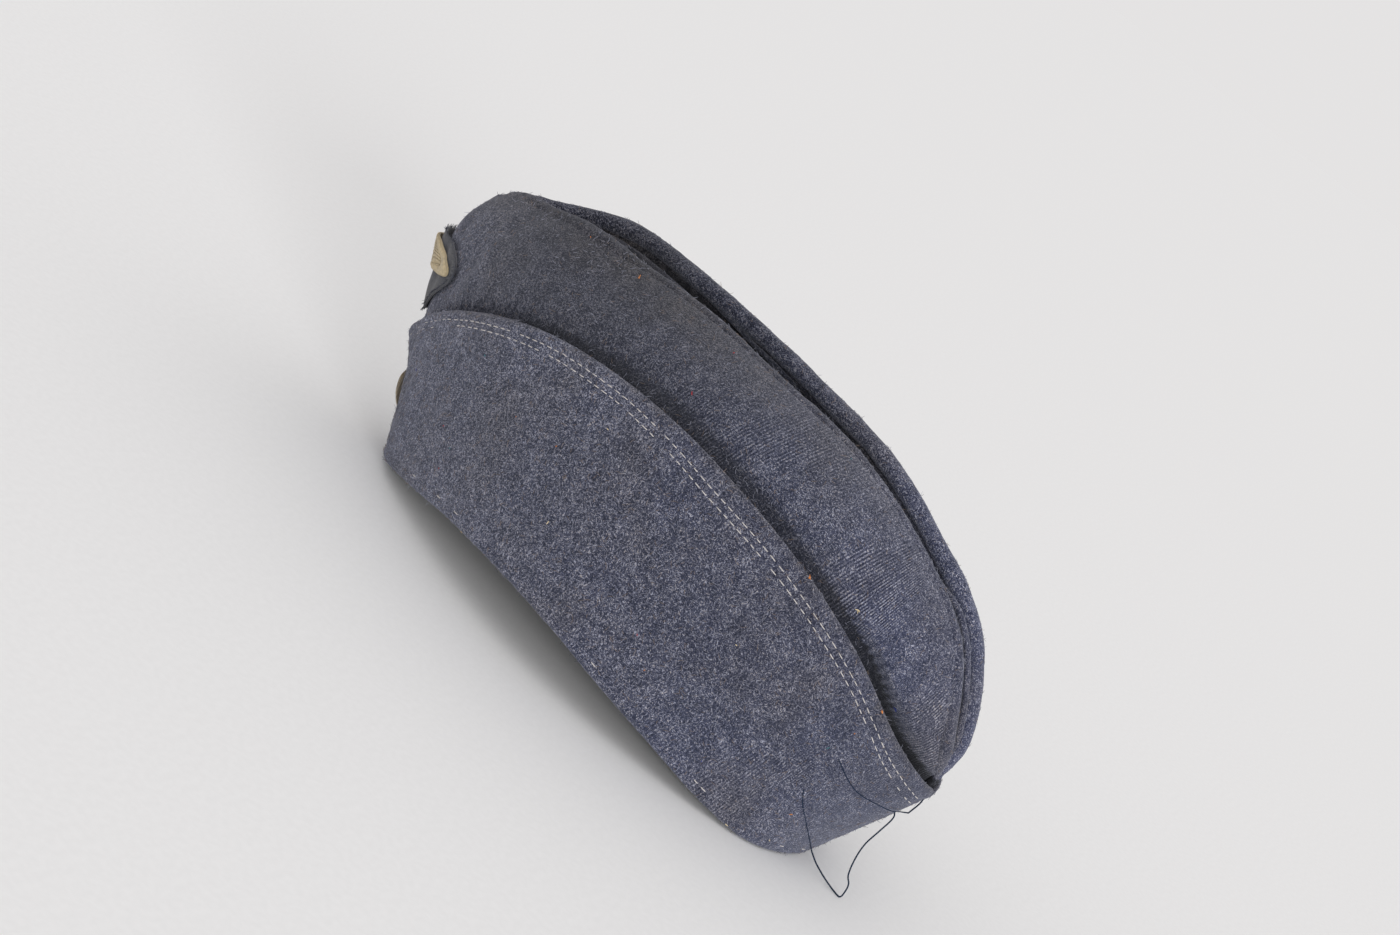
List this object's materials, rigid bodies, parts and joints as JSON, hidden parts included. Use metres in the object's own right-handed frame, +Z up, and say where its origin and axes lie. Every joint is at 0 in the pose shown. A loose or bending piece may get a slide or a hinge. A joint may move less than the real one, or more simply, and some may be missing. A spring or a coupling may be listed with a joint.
{
  "type": "side cap",
  "caption": "Folding wool side cap with two crown panels, a tucked top fold, a stitched turn-up, a front badge patch and a small rosette.",
  "frame": {"origin": "on the surface that the rim rests on, below the middle of the cap's bounding box", "axes": "-Y towards the front of the cap, +X towards the wearer's left, +Z up"},
  "size_m": [0.1286, 0.2837, 0.128],
  "materials": {
    "crown_wool": "felted wool, matt, heather blue-grey",
    "fold_wool": "felted wool, matt, in shade",
    "turnup_wool": "felted wool, matt, heather blue-grey, two rows of pale stitching",
    "badge_cloth": "cut dark wool with frayed edges",
    "badge_thread": "dull satin-stitched thread",
    "rosette_cloth": "ribbed embroidery thread in rings"
  },
  "bodies": {
    "root": {"crown_left": "crown_wool", "crown_right": "crown_wool", "crown_fold": "fold_wool", "turnup_left": "turnup_wool", "turnup_right": "turnup_wool", "badge_cloth": "badge_cloth", "badge": "badge_thread", "rosette": "rosette_cloth"}
  },
  "joints": []
}
